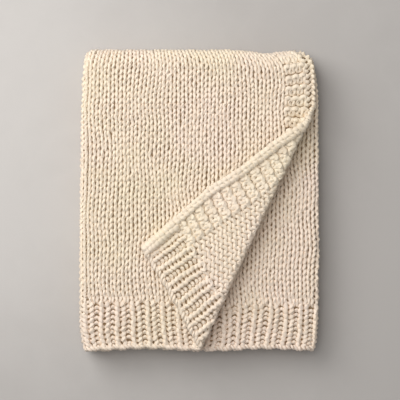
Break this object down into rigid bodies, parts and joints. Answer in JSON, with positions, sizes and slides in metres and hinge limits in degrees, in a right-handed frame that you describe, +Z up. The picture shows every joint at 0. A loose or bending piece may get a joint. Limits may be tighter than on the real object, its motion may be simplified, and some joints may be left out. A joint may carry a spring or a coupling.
{
  "type": "folded knit throw blanket",
  "caption": "Chunky knit throw blanket, folded flat with ribbed hems together and one corner of the top layer turned back.",
  "frame": {"origin": "centre of the folded stack's bounding box, on the surface that it lies on", "axes": "+Z up; +Y towards the folded end, -Y towards the hems; +X to the right, seen from above with the hems nearest"},
  "size_m": [0.5073, 0.6404, 0.0998],
  "materials": {
    "yarn": "matte cream yarn in a chunky plain knit"
  },
  "bodies": {
    "root": {"blanket": "yarn"}
  },
  "joints": []
}
